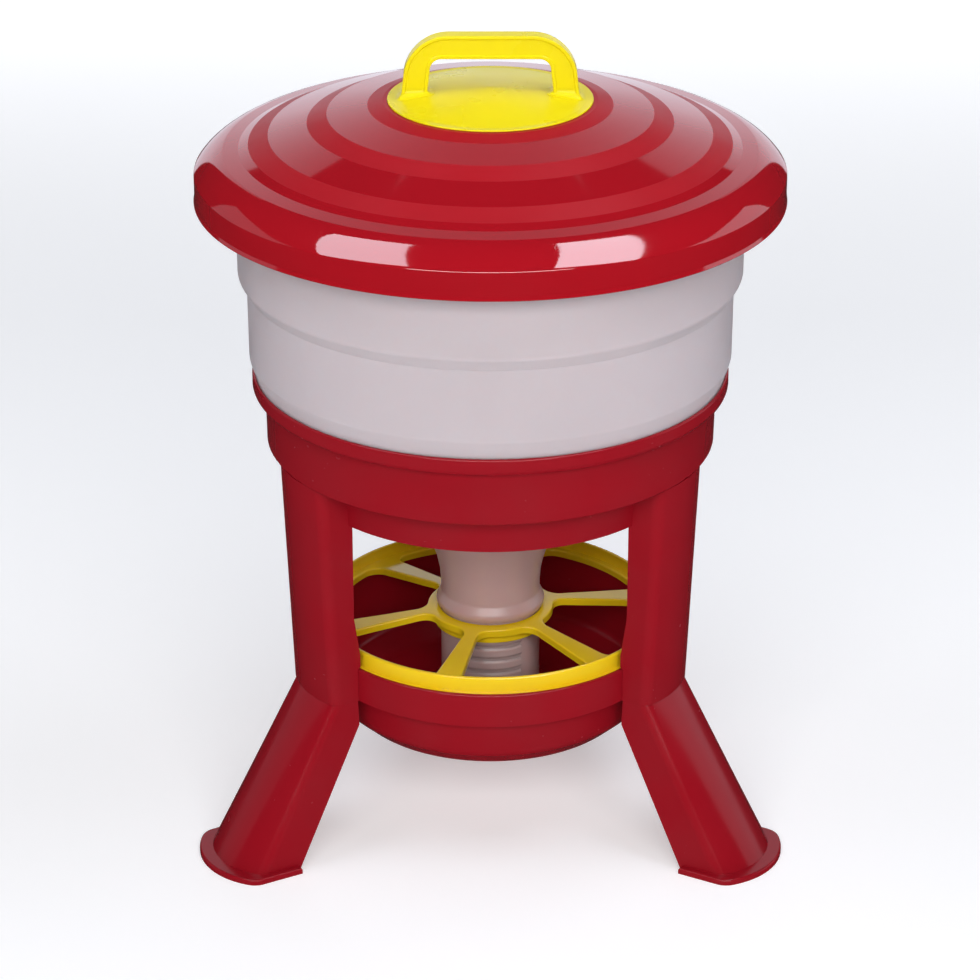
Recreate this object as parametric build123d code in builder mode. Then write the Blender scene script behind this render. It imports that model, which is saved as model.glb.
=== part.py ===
from build123d import *
from math import asin, degrees, hypot, radians, sin, sqrt
import os

# A tower feeder for poultry: a lidded hopper in a stand on three legs, over a feed pan.
# Millimetres, +Z up. The origin is on the tower's axis at floor level, and the front faces -Y.

# Heights
leg_height = 126.5  # floor to the seam between leg and column
column_height = 145.5  # seam to the lower edge of the stand's ring
ring_skirt_height = 32.5
ring_wall_height = 42.0
cup_height = 13.1  # raised lip that holds the hopper
cup_floor = 4.5
belly_turn = 22.0  # height over which the hopper widens above its seat
belly_height = 77.0  # hopper's seat to the crease under its shoulder
shoulder_height = 10.0
hopper_height = 174.3  # hopper's seat to the top of its rim
rim_drop = 10.0
funnel_height = 105.5
outlet_length = 54.0
lid_overlap = 31.8  # how far the lid's skirt hangs below the hopper's rim
skirt_height = 20.7
pan_band_height = 25.9  # seam to the top of the pan's rim
pan_recess = 2.4  # rim down to the ledge that carries the grid
pan_depth = 73.2
bowl_turn = 17.0  # height over which the bowl turns into its floor
cone_height = 30.0
hub_rise = 12.0  # pan's ledge to the top of the grid's hub
spoke_end_rise = 4.0
hub_collar = 8.0
grid_rim_height = 13.6
grid_lip_height = 2.0
tube_drop = 60.0  # hub's top to the tube's lower end
tube_neck = 21.0  # hub's top to the start of the trumpet
trumpet_height = 54.0
handle_height = 48.8

# Radii from the tower's axis, and steps from one to the next
pan_radius = 136.0
pan_step = 7.5  # pan's rim in to its bowl
bowl_floor_radius = 101.0
bowl_draft = 6.0
bowl_fillet = 12.0
cone_radius = 60.0
cone_tip_radius = 6.0
grid_rim_inset = 6.5  # pan's rim in to the grid's
window_inset = 9.0  # grid's rim in to its windows
guide_inset = 1.7  # pan's rim in to the columns' inner edges above it
tube_radius = 37.7
bead_swell = 3.4
hub_step = 6.9  # tube's bead out to the windows
trumpet_flare = 18.3
outlet_clearance = 4.1  # round the hopper's outlet in the tube
ring_clearance = 6.0  # pan's rim out to the ring's skirt
ring_skirt_draft = 1.5
ring_step = 25.0  # ring's skirt out to its wall
ring_wall_draft = 0.8
cup_step = 10.0  # ring's wall out to the cup
belly_swell = 1.7  # cup out to the hopper's belly
belly_draft = 0.3
shoulder_step = 6.5
rim_step = 9.5
lid_step = 20.0  # hopper's rim out to the lid's skirt
column_step = 23.0  # pan's rim out to a column's face at its foot
foot_reach = 238.5  # outer face of a leg at the floor
flange_reach = 246.0

# Walls
stand_wall = 3.0
cup_wall = 2.2
hopper_wall = 2.8
lid_wall = 2.5
pan_wall = 2.8
grid_wall = 3.0
tube_wall = 2.6
leg_wall = 3.0
spoke_thickness = 5.5
disc_thickness = 1.2

# Clearances
gap = 0.3  # between pieces that lift or slide apart
slip = 0.6  # round a piece dropped into its place

# Columns and legs, as seen from above
leg_count = 3
column_half_width = 32.6
column_crown = 6.5  # how far the face bulges past its corners
column_corner = 9.0
leg_inset = 0.8  # the leg's head is a little smaller than the column's foot
foot_half_width = 39.0
foot_crown = 17.6
foot_corner = 12.0
foot_flank_half_width = 39.5  # at the inner edge of the foot
foot_depth = 50.0  # outer face of the foot to its inner edge
head_depth = 36.5  # the same at the seam
flange_width = 5.0  # beyond the foot's flanks
flange_crown = 19.2
flange_height = 4.5
flange_round = 1.5
spigot_height = 30.0
guide_height = 32.0  # the columns' inner edges step in to guide the grid over this height
lug_width = 40.0
lug_height = 14.0
lug_reach = 11.0

# Grid and tube
spoke_count = 6
spoke_turn = 16.0  # first spoke, clockwise from the rear
spoke_hub_width = 9.0
spoke_rim_width = 21.0
window_hub_fillet = 11.0
window_rim_fillet = 11.0
window_edge = 1.2  # rounding of the spokes' upper edges
hub_margin = 2.0  # level part of the hub beyond the tube's bead
bore_relief = 1.8  # room in the hub for the tube's ribs
hub_lug_angle = 46.0
hub_lug_height = 6.0
rib_pitch = 10.3
rib_count = 4
rib_rise = 1.2
rib_height = 8.6
rib_angle = 76.0
first_rib_drop = 16.5
bead_height = 12.0

# Handle
handle_inset = 9.9  # disc's edge in to the posts' outer sides
handle_taper = 5.25  # how far each outer side leans in on its way up
post_width = 18.5  # at the lid
post_top_width = 16.75
handle_depth = 13.0
grip_height = 17.2
handle_corner = 32.0
grip_corner = 8.0
grip_edge = 1.0  # rounding along the grip's front and back edges
grip_rim = 2.2  # round the sunk panels in the front and back faces
grip_sunk = 0.9
foot_flare = 5.0  # rounding from the grip's posts into the disc
dome_height = 8.2
disc_margin = 3.1  # lid's crown beyond the handle's disc
hook_count = 4
hook_radius = 50.0
hook_turn = 45.0
hook_width = 12.0
hook_thickness = 3.0
hook_barb = 1.4
hook_length = 3.6

# Lid, from its shoulder to its crown: sloping bands with steeper steps between them
shoulder_width = 19.5
shoulder_rise = 2.6  # above the hopper's rim
seat_band_width = 13.1
seat_band_rise = 3.8
outer_band_width = 7.2
outer_band_rise = 3.1
middle_band_width = 28.2
middle_band_rise = 8.3
inner_band_width = 29.5
inner_band_rise = 5.9
lid_step_width = 14.4
lid_step_rise = 6.5
crown_step_width = 11.2
crown_step_rise = 3.5
lid_edge = 1.2  # rounding where bands and steps meet
skirt_bead = 0.8
shoulder_bulge = 2.5
shoulder_fillet = 1.5

# Radii that follow, each from the piece that it meets
bowl_radius = pan_radius - pan_step
grid_rim_radius = pan_radius - grid_rim_inset
window_radius = grid_rim_radius - window_inset
guide_radius = pan_radius - guide_inset
bead_radius = tube_radius + bead_swell
hub_radius = bead_radius + hub_step
trumpet_radius = tube_radius + trumpet_flare
outlet_radius = tube_radius - tube_wall - outlet_clearance
column_face = pan_radius + column_step
ring_skirt_radius = pan_radius + ring_clearance
ring_wall_radius = ring_skirt_radius + ring_step
cup_radius = ring_wall_radius + cup_step
belly_low_radius = cup_radius + belly_swell
belly_radius = belly_low_radius + belly_draft
shoulder_radius = belly_radius + shoulder_step
hopper_rim_radius = shoulder_radius + rim_step
lid_radius = hopper_rim_radius + lid_step

# Levels that follow from the sizes above
seam_z = leg_height
ring_z = seam_z + column_height
step_z = ring_z + ring_skirt_height
cup_z = step_z + ring_wall_height
shelf_z = cup_z + cup_floor
lip_z = cup_z + cup_height
seat_z = shelf_z + gap
crease_z = seat_z + belly_height
hopper_top_z = seat_z + hopper_height
outlet_z = seat_z - funnel_height
outlet_end_z = outlet_z - outlet_length
skirt_z = hopper_top_z - lid_overlap
pan_rim_z = seam_z + pan_band_height
pan_floor_z = pan_rim_z - pan_depth
grid_z = pan_rim_z - pan_recess
hub_z = grid_z + hub_rise
tube_z = hub_z - tube_drop
neck_z = hub_z + tube_neck
trumpet_z = neck_z + trumpet_height

# Radii that follow from what fits in what
seat_radius = cup_radius - cup_wall - slip
funnel_radius = ring_wall_radius - stand_wall - slip
pan_mouth_radius = bowl_radius - pan_wall
hub_bore_radius = tube_radius + bore_relief
grid_lip_radius = pan_radius - pan_wall - slip
floor_depth = flange_reach - (foot_reach - foot_depth)  # flange's apex to its inner end
hub_level_radius = bead_radius + hub_margin

# Corners of the lid's bands and steps, from the shoulder inwards
lid_corners = [(lid_radius - shoulder_width, hopper_top_z + shoulder_rise)]
for width, rise in [
    (seat_band_width, seat_band_rise),
    (outer_band_width, outer_band_rise),
    (lid_step_width, lid_step_rise),
    (middle_band_width, middle_band_rise),
    (lid_step_width, lid_step_rise),
    (inner_band_width, inner_band_rise),
    (crown_step_width, crown_step_rise),
]:
    lid_corners.append((lid_corners[-1][0] - width, lid_corners[-1][1] + rise))
crown_radius, plateau_z = lid_corners[-1]
handle_top_z = plateau_z + handle_height
handle_disc_radius = crown_radius - disc_margin
handle_length = 2 * (handle_disc_radius - handle_inset)
handle_top_length = handle_length - 2 * handle_taper
window_length = handle_length - 2 * post_width
window_top_length = handle_top_length - 2 * post_top_width

leg_names = ["rear_leg", "left_leg", "right_leg"]
leg_angles = [360 / leg_count * i for i in range(leg_count)]

os.makedirs("parts", exist_ok=True)


def save(piece, name):
    """Label a finished piece and write it to its file."""
    piece.label = name
    export_step(piece, f"parts/{name}.step")


def between(low, high, share):
    """The value that lies a share of the way from low to high."""
    return low + (high - low) * share


def corners(sketch, *points):
    """The corners of a sketch that lie nearest the points."""
    return [sketch.vertices().sort_by_distance(point)[0] for point in points]


def channel(height, face, half_width, crown, flank_half_width, depth, corner):
    """Outline at one height of the rear column or leg: a crowned face with two flanks behind it."""
    with BuildSketch(Plane.XY.offset(height)) as outline:
        with BuildLine():
            front = ThreePointArc((-half_width, face - crown), (0, face), (half_width, face - crown))
            Polyline(front @ 1, (flank_half_width, face - depth), (-flank_half_width, face - depth), front @ 0)
        make_face()
        fillet(corners(outline, front @ 0, front @ 1), corner)
    return outline.sketch


def column_section(height, inset):
    """The column's outline, or its hollow where inset is the wall."""
    face = between(column_face, ring_wall_radius, (height - seam_z) / (step_z - seam_z))
    half_width = column_half_width - inset
    return channel(
        height, face - inset, half_width, column_crown, half_width, head_depth, column_corner - inset / 2
    )


def leg_section(height, inset):
    """The leg's outline, or its hollow where inset is the wall, from the foot to the seam."""
    share = height / seam_z
    splayed = inset * 1.2
    return channel(
        height,
        between(foot_reach, column_face - leg_inset, share) - splayed,
        between(foot_half_width, column_half_width - leg_inset, share) - inset,
        between(foot_crown, column_crown, share),
        between(foot_flank_half_width, column_half_width - leg_inset, share) - inset,
        between(foot_depth, head_depth, share),
        between(foot_corner, column_corner, share) - inset / 2,
    )


# Stand: a ring with a cup for the hopper, and three columns moulded with it
with BuildPart() as column:
    loft([column_section(seam_z, 0), column_section(step_z, 0)], ruled=True)
    loft([column_section(seam_z, stand_wall), column_section(step_z, stand_wall)], ruled=True, mode=Mode.SUBTRACT)

with BuildPart() as stand_frame:
    with BuildSketch(Plane.XZ) as ring_section:
        with BuildLine():
            Polyline(
                (ring_skirt_radius - stand_wall, ring_z),
                (ring_skirt_radius, ring_z),
                (ring_skirt_radius + ring_skirt_draft, step_z),
                (ring_wall_radius, step_z),
                (ring_wall_radius + ring_wall_draft, cup_z),
                (cup_radius, cup_z),
                (cup_radius, lip_z),
                (cup_radius - cup_wall, lip_z),
                (cup_radius - cup_wall, shelf_z),
                (ring_wall_radius - stand_wall, shelf_z),
                (ring_wall_radius - stand_wall, step_z + stand_wall),
                (ring_skirt_radius - stand_wall, step_z + stand_wall),
                close=True,
            )
        make_face()
        fillet(corners(ring_section, (cup_radius, cup_z)), cup_floor)
        fillet(corners(ring_section, (ring_wall_radius + ring_wall_draft, cup_z)), stand_wall)
        fillet(corners(ring_section, (ring_wall_radius, step_z)), stand_wall / 2)
        fillet(corners(ring_section, (cup_radius, lip_z)), cup_wall * 0.7)
    revolve(axis=Axis.Z)
    for angle in leg_angles:
        add(column.part, rotation=(0, 0, angle))
    with BuildSketch(Plane.XZ):
        with BuildLine():
            Polyline(
                (0, seam_z),
                (pan_radius + gap, seam_z),
                (pan_radius + gap, pan_rim_z),
                (guide_radius, pan_rim_z + grid_lip_height),
                (guide_radius, grid_z + grid_rim_height),
                (ring_skirt_radius - stand_wall, grid_z + grid_rim_height + guide_height),
                (ring_skirt_radius - stand_wall, step_z + stand_wall),
                (0, step_z + stand_wall),
                close=True,
            )
        make_face()
    revolve(axis=Axis.Z, mode=Mode.SUBTRACT)
save(stand_frame.part, "stand_frame")

# Legs: a splayed channel with a flanged foot, and a spigot that plugs into the column
with BuildPart() as flange:
    flange_half_width = foot_half_width + flange_width
    flank_half_width = foot_flank_half_width + flange_width
    flange_corner = foot_corner + flange_width / 2
    extrude(
        channel(0, flange_reach, flange_half_width, flange_crown, flank_half_width, floor_depth, flange_corner),
        amount=flange_height,
    )
    fillet(flange.edges().group_by(Axis.Z)[-1], flange_round)

with BuildPart() as leg:
    loft([leg_section(0, 0), leg_section(seam_z, 0)], ruled=True)
    add(flange.part)
    loft([leg_section(0, leg_wall), leg_section(seam_z - leg_wall, leg_wall)], ruled=True, mode=Mode.SUBTRACT)
    spigot_inset = stand_wall + gap
    extrude(column_section(seam_z, spigot_inset), amount=spigot_height)
    extrude(
        column_section(seam_z, spigot_inset + leg_wall), amount=spigot_height, mode=Mode.SUBTRACT
    )
    Cylinder(
        pan_radius + gap,
        seam_z + spigot_height,
        align=(Align.CENTER, Align.CENTER, Align.MIN),
        mode=Mode.SUBTRACT,
    )
for name, angle in zip(leg_names, leg_angles):
    with BuildPart() as placed_leg:
        add(leg.part, rotation=(0, 0, angle))
    save(placed_leg.part, name)

# Feed pan: a banded rim, a bowl, a cone that spreads the feed, and a lug in each column
with BuildPart() as feed_pan:
    with BuildSketch(Plane.XZ) as pan_section:
        with BuildLine():
            Polyline(
                (0, pan_floor_z + cone_height),
                (cone_tip_radius, pan_floor_z + cone_height),
                (cone_radius, pan_floor_z + pan_wall),
                (bowl_floor_radius, pan_floor_z + pan_wall),
                (pan_mouth_radius - bowl_draft, pan_floor_z + bowl_turn),
                (pan_mouth_radius, grid_z),
                (pan_radius - pan_wall, grid_z),
                (pan_radius - pan_wall, pan_rim_z),
                (pan_radius, pan_rim_z),
                (pan_radius, seam_z),
                (pan_radius - pan_wall, seam_z),
                (pan_radius - pan_wall, grid_z - pan_wall),
                (bowl_radius, grid_z - pan_wall),
                (bowl_radius - bowl_draft, pan_floor_z + bowl_turn),
                (bowl_floor_radius + pan_wall, pan_floor_z),
                (cone_radius - pan_wall / 2, pan_floor_z),
                (cone_tip_radius - pan_wall / 2, pan_floor_z + cone_height - pan_wall),
                (0, pan_floor_z + cone_height - pan_wall),
                close=True,
            )
        make_face()
        fillet(corners(pan_section, (bowl_radius - bowl_draft, pan_floor_z + bowl_turn)), bowl_fillet)
        fillet(corners(pan_section, (bowl_floor_radius + pan_wall, pan_floor_z)), bowl_fillet)
        fillet(corners(pan_section, (pan_mouth_radius - bowl_draft, pan_floor_z + bowl_turn)), bowl_fillet - pan_wall)
        fillet(corners(pan_section, (bowl_floor_radius, pan_floor_z + pan_wall)), bowl_fillet - pan_wall)
        fillet(corners(pan_section, (pan_radius, pan_rim_z)), pan_wall / 2)
    revolve(axis=Axis.Z)
    with BuildSketch(Plane.XY.offset(seam_z)):
        with PolarLocations(pan_radius - pan_wall / 2, leg_count, start_angle=90):
            Rectangle(lug_reach, lug_width, align=(Align.MIN, Align.CENTER))
    extrude(amount=lug_height)
save(feed_pan.part, "feed_pan")

# Feed grid: a rim that stands on the pan's ledge, spokes that rise to a hub, and two lugs in its bore
plate_edge = pan_mouth_radius - slip
plate_slope = (hub_rise - spoke_end_rise) / (grid_rim_radius - grid_wall - hub_level_radius)


def plate_level(point):
    """Height of the grid's upper face at a point."""
    return hub_z - plate_slope * max(hypot(point.X, point.Y) - hub_level_radius, 0)


with BuildSketch() as window:
    hub_half = degrees(asin(spoke_hub_width / 2 / hub_radius))
    rim_half = degrees(asin(spoke_rim_width / 2 / window_radius))
    half_pitch = 180 / spoke_count
    with BuildLine():
        hub_side = CenterArc((0, 0), hub_radius, hub_half - half_pitch, 2 * (half_pitch - hub_half))
        rim_side = CenterArc((0, 0), window_radius, rim_half - half_pitch, 2 * (half_pitch - rim_half))
        Line(hub_side @ 0, rim_side @ 0)
        Line(hub_side @ 1, rim_side @ 1)
    make_face()
    fillet(corners(window, hub_side @ 0, hub_side @ 1), window_hub_fillet)
    fillet(corners(window, rim_side @ 0, rim_side @ 1), window_rim_fillet)

with BuildPart() as feed_grid:
    with BuildSketch(Plane.XZ) as grid_section:
        with BuildLine():
            Polyline(
                (hub_bore_radius, hub_z),
                (hub_level_radius, hub_z),
                (grid_rim_radius - grid_wall, grid_z + spoke_end_rise),
                (grid_rim_radius - grid_wall, grid_z + grid_rim_height),
                (grid_rim_radius, grid_z + grid_rim_height),
                (grid_rim_radius, grid_z + grid_lip_height),
                (grid_lip_radius, grid_z + grid_lip_height),
                (grid_lip_radius, grid_z),
                (plate_edge, grid_z),
                (plate_edge, hub_z - spoke_thickness - plate_slope * (plate_edge - hub_level_radius)),
                (hub_level_radius, hub_z - spoke_thickness),
                (hub_bore_radius + grid_wall, hub_z - spoke_thickness),
                (hub_bore_radius + grid_wall, hub_z - spoke_thickness - hub_collar),
                (hub_bore_radius, hub_z - spoke_thickness - hub_collar),
                close=True,
            )
        make_face()
        fillet(corners(grid_section, (grid_rim_radius, grid_z + grid_rim_height)), grid_wall * 0.45)
        fillet(corners(grid_section, (grid_rim_radius - grid_wall, grid_z + grid_rim_height)), grid_wall * 0.3)
    revolve(axis=Axis.Z)
    with BuildSketch(Plane.XY.offset(hub_z)):
        for i in range(spoke_count):
            add(window.sketch, rotation=90 - spoke_turn - 360 / spoke_count * (i + 0.5))
    extrude(amount=-hub_rise - spoke_thickness, mode=Mode.SUBTRACT)
    upper_edges = feed_grid.edges(Select.LAST).filter_by(
        lambda edge: (edge @ 0.5).Z > plate_level(edge @ 0.5) - spoke_thickness / 4
    )
    upper_edges = upper_edges.sort_by(lambda edge: tuple(round(place, 3) for place in edge @ 0.5))
    fillet(upper_edges, window_edge)
    with BuildSketch(Plane.XY.offset(hub_z - spoke_thickness - hub_collar)):
        Circle(hub_bore_radius + grid_wall / 2)
        Circle(tube_radius + gap, mode=Mode.SUBTRACT)
        Rectangle(
            3 * hub_bore_radius, 2 * hub_bore_radius * sin(radians(hub_lug_angle / 2)), mode=Mode.INTERSECT
        )
    extrude(amount=hub_lug_height)
save(feed_grid.part, "feed_grid")

# Regulator tube: a trumpet at the top, a bead that sits on the hub, and ribs front and rear
with BuildPart() as ribs:
    with BuildSketch(Plane.XZ):
        for i in range(rib_count):
            rib_z = hub_z - first_rib_drop - i * rib_pitch
            rib_root = tube_radius - tube_wall / 4
            with BuildLine():
                swell = ThreePointArc(
                    (rib_root, rib_z - rib_height / 2),
                    (tube_radius + rib_rise, rib_z),
                    (rib_root, rib_z + rib_height / 2),
                )
                Line(swell @ 1, swell @ 0)
            make_face()
    revolve(axis=Axis.Z, revolution_arc=rib_angle)

with BuildPart() as regulator_tube:
    with BuildSketch(Plane.XZ):
        with BuildLine():
            outside = Line((tube_radius, tube_z), (tube_radius, neck_z))
            flare = TangentArc(outside @ 1, (trumpet_radius, trumpet_z), tangent=outside % 1)
            across = (flare % 1).rotate(Axis.Z, 90) * tube_wall
            inner_neck = (tube_radius - tube_wall, neck_z)
            inner_flare = TangentArc(inner_neck, flare @ 1 + across, tangent=(0, 1))
            Line(flare @ 1, inner_flare @ 1)
            Polyline(inner_neck, (tube_radius - tube_wall, tube_z), (tube_radius, tube_z))
        make_face()
    revolve(axis=Axis.Z)
    bead_z = hub_z + gap
    with BuildSketch(Plane.XZ):
        with BuildLine():
            bulge = ThreePointArc(
                (bead_radius - tube_wall / 3, bead_z),
                (bead_radius, bead_z + bead_height / 3),
                (tube_radius, bead_z + bead_height),
            )
            inside = tube_radius - tube_wall / 2
            Polyline(bulge @ 0, (inside, bead_z), (inside, bead_z + bead_height), bulge @ 1)
        make_face()
    revolve(axis=Axis.Z)
    for side in (-90, 90):
        add(ribs.part, rotation=(0, 0, side - rib_angle / 2))
save(regulator_tube.part, "regulator_tube")

# Hopper: a stepped wall under a rolled rim, a funnel and an outlet that enters the tube
funnel_slope = funnel_height / (funnel_radius - outlet_radius)
funnel_wall = hopper_wall * sqrt(1 + funnel_slope**2)
with BuildPart() as hopper:
    with BuildSketch(Plane.XZ) as hopper_section:
        with BuildLine():
            Polyline(
                (outlet_radius, outlet_end_z),
                (outlet_radius, outlet_z),
                (funnel_radius, seat_z),
                (seat_radius, seat_z),
                (seat_radius, lip_z),
                (belly_low_radius, seat_z + belly_turn),
                (belly_radius, crease_z),
                (shoulder_radius, crease_z + shoulder_height),
                (shoulder_radius, hopper_top_z - hopper_wall),
                (hopper_rim_radius - hopper_wall, hopper_top_z - hopper_wall),
                (hopper_rim_radius - hopper_wall, hopper_top_z - rim_drop),
                (hopper_rim_radius, hopper_top_z - rim_drop),
                (hopper_rim_radius, hopper_top_z),
                (shoulder_radius - hopper_wall, hopper_top_z),
                (shoulder_radius - hopper_wall, crease_z + shoulder_height),
                (belly_radius - hopper_wall, crease_z),
                (belly_low_radius - hopper_wall, seat_z + belly_turn),
                (seat_radius - hopper_wall, lip_z),
                (seat_radius - hopper_wall, seat_z + funnel_wall),
                (funnel_radius, seat_z + funnel_wall),
                (outlet_radius - hopper_wall, outlet_z + funnel_wall - hopper_wall * funnel_slope),
                (outlet_radius - hopper_wall, outlet_end_z),
                close=True,
            )
        make_face()
        fillet(corners(hopper_section, (shoulder_radius, crease_z + shoulder_height)), shoulder_height * 0.8)
        fillet(corners(hopper_section, (belly_low_radius, seat_z + belly_turn)), belly_turn * 0.6)
        fillet(corners(hopper_section, (seat_radius, seat_z)), hopper_wall)
        fillet(corners(hopper_section, (outlet_radius, outlet_z)), outlet_radius / 2)
        fillet(corners(hopper_section, (hopper_rim_radius, hopper_top_z)), hopper_wall * 0.7)
    revolve(axis=Axis.Z)
save(hopper.part, "hopper")

# Lid: a skirt, a rounded shoulder, a band that rests on the hopper, and rings that step up to the centre
corners_inside = [(radius, z - lid_wall) for radius, z in lid_corners[1:]]
skirt_top = (lid_radius, skirt_z + skirt_height)
skirt_top_inside = (lid_radius - lid_wall, skirt_z + skirt_height - lid_wall / 2)
shoulder_inside = (lid_corners[0][0] - lid_wall / 3, lid_corners[0][1] - lid_wall)
with BuildPart() as lid:
    with BuildSketch(Plane.XZ) as lid_section:
        with BuildLine():
            SagittaArc(skirt_top, lid_corners[0], -shoulder_bulge)
            SagittaArc(skirt_top_inside, shoulder_inside, -shoulder_bulge)
            Polyline(
                *lid_corners, (0, plateau_z), (0, plateau_z - lid_wall), *reversed(corners_inside), shoulder_inside
            )
            Polyline(
                skirt_top,
                (lid_radius, skirt_z + 4 * skirt_bead),
                (lid_radius + skirt_bead, skirt_z),
                (lid_radius - lid_wall, skirt_z),
                skirt_top_inside,
            )
        make_face()
        fillet(corners(lid_section, skirt_top), shoulder_fillet)
        fillet(corners(lid_section, lid_corners[0]), shoulder_fillet)
        fillet(corners(lid_section, *lid_corners[1:]), lid_edge)
    revolve(axis=Axis.Z)
    with BuildSketch(Plane.XY.offset(plateau_z)):
        with PolarLocations(hook_radius, hook_count, start_angle=hook_turn):
            Rectangle(hook_thickness + 2 * slip, hook_width + 2 * slip)
    extrude(amount=-2 * lid_wall, mode=Mode.SUBTRACT)
save(lid.part, "lid")

# Lid handle: a bowed grip on a domed disc, with hooks that snap through the lid
with BuildPart() as hook:
    with BuildSketch(Plane.XZ):
        with BuildLine():
            catch_z = plateau_z - lid_wall - gap
            inner, outer = hook_radius - hook_thickness / 2, hook_radius + hook_thickness / 2
            Polyline(
                (inner, plateau_z + disc_thickness / 2),
                (outer, plateau_z + disc_thickness / 2),
                (outer, catch_z),
                (outer + hook_barb, catch_z),
                (outer - hook_thickness / 3, catch_z - hook_length),
                (inner, catch_z - hook_length),
                close=True,
            )
        make_face()
    extrude(amount=hook_width / 2, both=True)

with BuildPart() as lid_handle:
    with BuildSketch(Plane.XZ) as grip_outline:
        with BuildLine():
            Polyline(
                (-handle_length / 2, plateau_z),
                (-handle_top_length / 2, handle_top_z),
                (handle_top_length / 2, handle_top_z),
                (handle_length / 2, plateau_z),
                close=True,
            )
        make_face()
        top_corners = corners(
            grip_outline, (-handle_top_length / 2, handle_top_z), (handle_top_length / 2, handle_top_z)
        )
        fillet(top_corners, handle_corner)
        with BuildSketch(mode=Mode.PRIVATE) as grip_window:
            with BuildLine():
                Polyline(
                    (-window_length / 2, plateau_z),
                    (-window_top_length / 2, handle_top_z - grip_height),
                    (window_top_length / 2, handle_top_z - grip_height),
                    (window_length / 2, plateau_z),
                    close=True,
                )
            make_face()
            fillet(grip_window.vertices().group_by(Axis.Y)[-1], grip_corner)
        add(grip_window.sketch, mode=Mode.SUBTRACT)
    extrude(amount=handle_depth / 2, both=True)
    grip_edges = lid_handle.faces().filter_by(Axis.Y).edges()
    fillet(grip_edges.filter_by_position(Axis.Z, plateau_z + 1, handle_top_z), grip_edge)
    with BuildSketch(Plane.XZ) as disc_section:
        with BuildLine():
            edge_z = plateau_z + disc_thickness
            dome_foot = (handle_disc_radius * 0.93, edge_z)
            dome_top = (0, edge_z + dome_height)
            dome = RadiusArc(dome_foot, dome_top, -(dome_foot[0] ** 2 + dome_height**2) / (2 * dome_height))
            Polyline(dome_top, (0, plateau_z), (handle_disc_radius, plateau_z), (handle_disc_radius, edge_z), dome_foot)
        make_face()
        fillet(corners(disc_section, (handle_disc_radius, edge_z)), disc_thickness * 0.7)
    revolve(axis=Axis.Z)
    feet_edges = lid_handle.edges().filter_by(
        lambda edge: edge_z + 1 < (edge @ 0.5).Z < edge_z + dome_height
        and window_length / 2 - grip_edge < abs((edge @ 0.5).X) < handle_length / 2 + grip_edge
    )
    fillet(feet_edges, foot_flare)
    with BuildSketch() as panel:
        add(grip_outline.sketch_local)
        offset(amount=-grip_rim)
    for near in (handle_depth / 2 - grip_sunk, -handle_depth / 2):
        with BuildSketch(Plane.XZ.offset(near)):
            add(panel.sketch)
            Rectangle(handle_length, 2 * (plateau_z + disc_thickness + dome_height + foot_flare), mode=Mode.SUBTRACT)
        extrude(amount=grip_sunk, mode=Mode.SUBTRACT)
    for i in range(hook_count):
        add(hook.part, rotation=(0, 0, hook_turn + 360 / hook_count * i))
save(lid_handle.part, "lid_handle")
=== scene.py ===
"""A poultry tower feeder in glossy red, yellow and milky polypropylene, on a pale floor in studio light."""

from math import asin, copysign, cos, hypot, pi, radians, sin, sqrt, tan

import bmesh
import bpy
from mathutils import Matrix, Vector


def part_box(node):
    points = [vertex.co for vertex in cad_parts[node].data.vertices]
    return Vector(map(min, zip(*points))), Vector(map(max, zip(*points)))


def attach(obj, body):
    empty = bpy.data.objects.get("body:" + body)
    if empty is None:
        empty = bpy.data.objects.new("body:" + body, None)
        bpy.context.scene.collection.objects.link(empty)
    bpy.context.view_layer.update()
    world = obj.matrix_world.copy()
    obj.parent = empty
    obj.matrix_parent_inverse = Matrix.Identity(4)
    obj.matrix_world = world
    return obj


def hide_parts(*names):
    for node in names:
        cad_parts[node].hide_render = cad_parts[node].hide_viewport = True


bl_info = {
    "name": "Tower feeder",
    "version": (1, 0, 0),
    "blender": (4, 5, 0),
    "location": "View3D > Sidebar > Feeder",
    "description": "Models the feeder's mouldings over its frame, finishes them and sets the stage",
    "category": "Object",
}

mm = 0.001

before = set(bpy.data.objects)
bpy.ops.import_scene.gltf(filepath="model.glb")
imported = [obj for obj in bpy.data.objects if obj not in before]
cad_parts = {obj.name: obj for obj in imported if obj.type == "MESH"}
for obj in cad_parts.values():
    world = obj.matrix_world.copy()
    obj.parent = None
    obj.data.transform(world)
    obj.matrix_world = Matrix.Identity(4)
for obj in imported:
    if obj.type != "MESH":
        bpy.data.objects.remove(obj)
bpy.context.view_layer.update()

# Levels and radii that the frame gives
lid_low, lid_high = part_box("lid")
hopper_low, hopper_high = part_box("hopper")
tube_low, tube_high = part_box("regulator_tube")
stand_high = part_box("stand_frame")[1]
handle_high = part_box("lid_handle")[1]
grid_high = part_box("feed_grid")[1]

# Lid's rings from its centre to its shoulder, in mm: radius, and height above the hopper's rim
lid_rings = [(77.5, 40.2), (88.7, 36.7), (118.2, 30.8), (132.6, 24.3)]
lid_rings += [(160.8, 16.0), (175.2, 9.5), (182.4, 6.4), (193.8, 4.4)]

# Radii in mm between which the lid's steps are satin; the first starts under the handle's disc
satin_start = 72
satin_steps = ((satin_start, 88.7), (118.2, 132.6), (160.8, 175.2))

polypropylene_ior = 1.49

# Angle from which an edge is shown sharp
crease_angle = radians(38)

# Share of an arc's full radius, so that its ends stay clear of the corners beside it
arc_share = 0.99


def linear(colour):
    """A hex sRGB colour as linear red, green and blue."""
    shares = [int(colour[i : i + 2], 16) / 255 for i in (1, 3, 5)]
    return tuple(share / 12.92 if share <= 0.04045 else ((share + 0.055) / 1.055) ** 2.4 for share in shares)


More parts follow.
